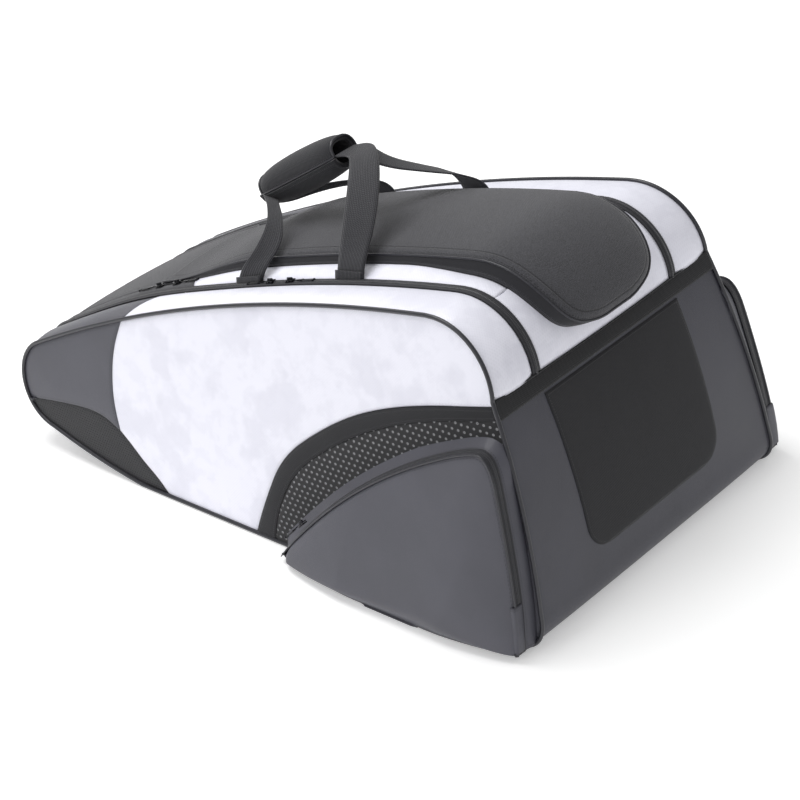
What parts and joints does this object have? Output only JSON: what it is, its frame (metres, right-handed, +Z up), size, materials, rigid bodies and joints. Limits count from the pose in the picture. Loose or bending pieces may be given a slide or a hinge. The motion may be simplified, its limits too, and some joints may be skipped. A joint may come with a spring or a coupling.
{
  "type": "racket tournament bag",
  "caption": "Wedge-shaped racket bag with folding side covers, a padded lid, side shoe pockets, zips with sliding pulls and a gathered webbing carry handle.",
  "frame": {"origin": "under the middle of the bag's box, on the floor", "axes": "+X from the nose to the butt end, +Y across the bag, +Z up"},
  "size_m": [0.858, 0.536, 0.4532],
  "materials": {
    "white_fabric": "matt",
    "heather_fabric": "matt",
    "coated_fabric": "satin",
    "black_fabric": "matt",
    "webbing": "matt",
    "grip_fabric": "matt",
    "slider_metal": "gloss",
    "pull_cord": "satin",
    "mesh": "matt",
    "piping": "satin",
    "zip_tape": "matt",
    "lining": "matt",
    "foam": "matt"
  },
  "bodies": {
    "shell": {"bottom_panel": "coated_fabric", "end_band": "black_fabric", "end_fabric_panel": "black_fabric", "end_panel": "coated_fabric", "far_back_strip": "white_fabric", "far_divider": "lining", "far_mesh_band": "mesh", "far_piping_lower": "piping", "far_pocket_wall": "coated_fabric", "far_pocket_zip": "zip_tape", "far_side_lower": "white_fabric", "far_webbing": "webbing", "far_zip": "zip_tape", "handle_feet": "webbing", "near_back_strip": "white_fabric", "near_divider": "lining", "near_mesh_band": "mesh", "near_piping_lower": "piping", "near_pocket_wall": "coated_fabric", "near_pocket_zip": "zip_tape", "near_side_lower": "white_fabric", "near_webbing": "webbing", "near_zip": "zip_tape", "nose_top_panel": "heather_fabric", "shoulder_panel": "heather_fabric"},
    "far_lid_butt_pull": {"far_lid_butt_pull": "pull_cord"},
    "far_lid_butt_slider": {"far_lid_butt_slider": "slider_metal"},
    "far_lid_nose_pull": {"far_lid_nose_pull": "pull_cord"},
    "far_lid_nose_slider": {"far_lid_nose_slider": "slider_metal"},
    "far_cover": {"far_nose_patch": "coated_fabric", "far_outer_gusset": "white_fabric", "far_piping_upper": "piping", "far_side_cover": "white_fabric"},
    "far_pocket_flap": {"far_pocket_front": "coated_fabric"},
    "far_pocket_pull": {"far_pocket_pull": "pull_cord"},
    "far_pocket_slider": {"far_pocket_slider": "slider_metal"},
    "far_zip_butt_pull": {"far_zip_butt_pull": "pull_cord"},
    "far_zip_butt_slider": {"far_zip_butt_slider": "slider_metal"},
    "far_zip_nose_pull": {"far_zip_nose_pull": "pull_cord"},
    "far_zip_nose_slider": {"far_zip_nose_slider": "slider_metal"},
    "grip_flap": {"grip_flap": "grip_fabric"},
    "grip": {"grip_pad": "grip_fabric"},
    "lid": {"lid": "heather_fabric", "lid_pad": "foam"},
    "near_lid_butt_pull": {"near_lid_butt_pull": "pull_cord"},
    "near_lid_butt_slider": {"near_lid_butt_slider": "slider_metal"},
    "near_lid_nose_pull": {"near_lid_nose_pull": "pull_cord"},
    "near_lid_nose_slider": {"near_lid_nose_slider": "slider_metal"},
    "near_cover": {"near_nose_patch": "coated_fabric", "near_outer_gusset": "white_fabric", "near_piping_upper": "piping", "near_side_cover": "white_fabric"},
    "near_pocket_flap": {"near_pocket_front": "coated_fabric"},
    "near_pocket_pull": {"near_pocket_pull": "pull_cord"},
    "near_pocket_slider": {"near_pocket_slider": "slider_metal"},
    "near_zip_butt_pull": {"near_zip_butt_pull": "pull_cord"},
    "near_zip_butt_slider": {"near_zip_butt_slider": "slider_metal"},
    "near_zip_nose_pull": {"near_zip_nose_pull": "pull_cord"},
    "near_zip_nose_slider": {"near_zip_nose_slider": "slider_metal"}
  },
  "joints": [
    {"name": "near_cover_fold", "type": "hinge", "parent": "shell", "child": "near_cover", "pos_m": [-0.02896, -0.19761, 0.16968], "axis": [0.9588, -0.0343, 0.2821], "range_deg": [0, 40]},
    {"name": "near_pocket_fold", "type": "hinge", "parent": "shell", "child": "near_pocket_flap", "pos_m": [0.22104, -0.25668, 0.008], "axis": [0.9981, -0.0619, 0], "range_deg": [0, 70]},
    {"name": "far_cover_fold", "type": "hinge", "parent": "shell", "child": "far_cover", "pos_m": [-0.02896, 0.19761, 0.16968], "axis": [-0.9588, -0.0343, -0.2821], "range_deg": [0, 40]},
    {"name": "far_pocket_fold", "type": "hinge", "parent": "shell", "child": "far_pocket_flap", "pos_m": [0.22104, 0.25668, 0.008], "axis": [-0.9981, -0.0619, 0], "range_deg": [0, 70]},
    {"name": "lid_fold", "type": "hinge", "parent": "shell", "child": "lid", "pos_m": [-0.23396, 0, 0.21995], "axis": [0, -1, 0], "range_deg": [0, 3]},
    {"name": "handle_drop", "type": "slide", "parent": "shell", "child": "grip", "axis": [0, 0, 1], "range_m": [-0.008, 0], "deforming": ["near_webbing", "far_webbing"]},
    {"name": "grip_flap_hinge", "type": "hinge", "parent": "grip", "child": "grip_flap", "pos_m": [-0.12496, 0.023, 0.34658], "axis": [-0.8547, 0, -0.519], "range_deg": [0, 110]},
    {"name": "near_zip_nose_slide", "type": "slide", "parent": "shell", "child": "near_zip_nose_slider", "axis": [-0.9595, 0, -0.2818], "range_m": [0, 0.06]},
    {"name": "near_zip_nose_pull_swing", "type": "hinge", "parent": "near_zip_nose_slider", "child": "near_zip_nose_pull", "pos_m": [-0.0295, -0.12693, 0.29564], "axis": [0, 1, 0], "range_deg": [0, 90]},
    {"name": "near_zip_butt_slide", "type": "slide", "parent": "shell", "child": "near_zip_butt_slider", "axis": [0.9621, 0, 0.2728], "range_m": [0, 0.06]},
    {"name": "near_zip_butt_pull_swing", "type": "hinge", "parent": "near_zip_butt_slider", "child": "near_zip_butt_pull", "pos_m": [0.02012, -0.12693, 0.30996], "axis": [0, -1, 0], "range_deg": [0, 90]},
    {"name": "far_zip_nose_slide", "type": "slide", "parent": "shell", "child": "far_zip_nose_slider", "axis": [-0.9642, 0, -0.2651], "range_m": [0, 0.06]},
    {"name": "far_zip_nose_pull_swing", "type": "hinge", "parent": "far_zip_nose_slider", "child": "far_zip_nose_pull", "pos_m": [0.00748, 0.12754, 0.30643], "axis": [0, 1, 0], "range_deg": [0, 90]},
    {"name": "far_zip_butt_slide", "type": "slide", "parent": "shell", "child": "far_zip_butt_slider", "axis": [0.9667, 0, 0.256], "range_m": [0, 0.06]},
    {"name": "far_zip_butt_pull_swing", "type": "hinge", "parent": "far_zip_butt_slider", "child": "far_zip_butt_pull", "pos_m": [0.05724, 0.12754, 0.31986], "axis": [0, -1, 0], "range_deg": [0, 90]},
    {"name": "near_lid_nose_slide", "type": "slide", "parent": "shell", "child": "near_lid_nose_slider", "axis": [-0.9268, 0, -0.3754], "range_m": [0, 0.02]},
    {"name": "near_lid_nose_pull_swing", "type": "hinge", "parent": "near_lid_nose_slider", "child": "near_lid_nose_pull", "pos_m": [-0.23625, -0.1055, 0.22199], "axis": [0, 1, 0], "range_deg": [0, 90]},
    {"name": "near_lid_butt_slide", "type": "slide", "parent": "shell", "child": "near_lid_butt_slider", "axis": [0.9305, 0, 0.3664], "range_m": [0, 0.06]},
    {"name": "near_lid_butt_pull_swing", "type": "hinge", "parent": "near_lid_butt_slider", "child": "near_lid_butt_pull", "pos_m": [-0.18762, -0.1055, 0.24141], "axis": [0, -1, 0], "range_deg": [0, 90]},
    {"name": "far_lid_nose_slide", "type": "slide", "parent": "shell", "child": "far_lid_nose_slider", "axis": [-0.9614, 0, -0.275], "range_m": [0, 0.06]},
    {"name": "far_lid_nose_pull_swing", "type": "hinge", "parent": "far_lid_nose_slider", "child": "far_lid_nose_pull", "pos_m": [-0.01451, 0.1055, 0.3001], "axis": [0, 1, 0], "range_deg": [0, 90]},
    {"name": "far_lid_butt_slide", "type": "slide", "parent": "shell", "child": "far_lid_butt_slider", "axis": [0.964, 0, 0.266], "range_m": [0, 0.06]},
    {"name": "far_lid_butt_pull_swing", "type": "hinge", "parent": "far_lid_butt_slider", "child": "far_lid_butt_pull", "pos_m": [0.03517, 0.1055, 0.31406], "axis": [0, -1, 0], "range_deg": [0, 90]},
    {"name": "near_pocket_slide", "type": "slide", "parent": "shell", "child": "near_pocket_slider", "axis": [0.7201, 0, 0.6938], "range_m": [0, 0.06]},
    {"name": "near_pocket_pull_swing", "type": "hinge", "parent": "near_pocket_slider", "child": "near_pocket_pull", "pos_m": [0.0784, -0.23562, 0.05311], "axis": [0, 1, 0], "range_deg": [0, 90]},
    {"name": "far_pocket_slide", "type": "slide", "parent": "shell", "child": "far_pocket_slider", "axis": [0.7201, 0, 0.6938], "range_m": [0, 0.06]},
    {"name": "far_pocket_pull_swing", "type": "hinge", "parent": "far_pocket_slider", "child": "far_pocket_pull", "pos_m": [0.0784, 0.23562, 0.05311], "axis": [0, 1, 0], "range_deg": [0, 90]}
  ]
}
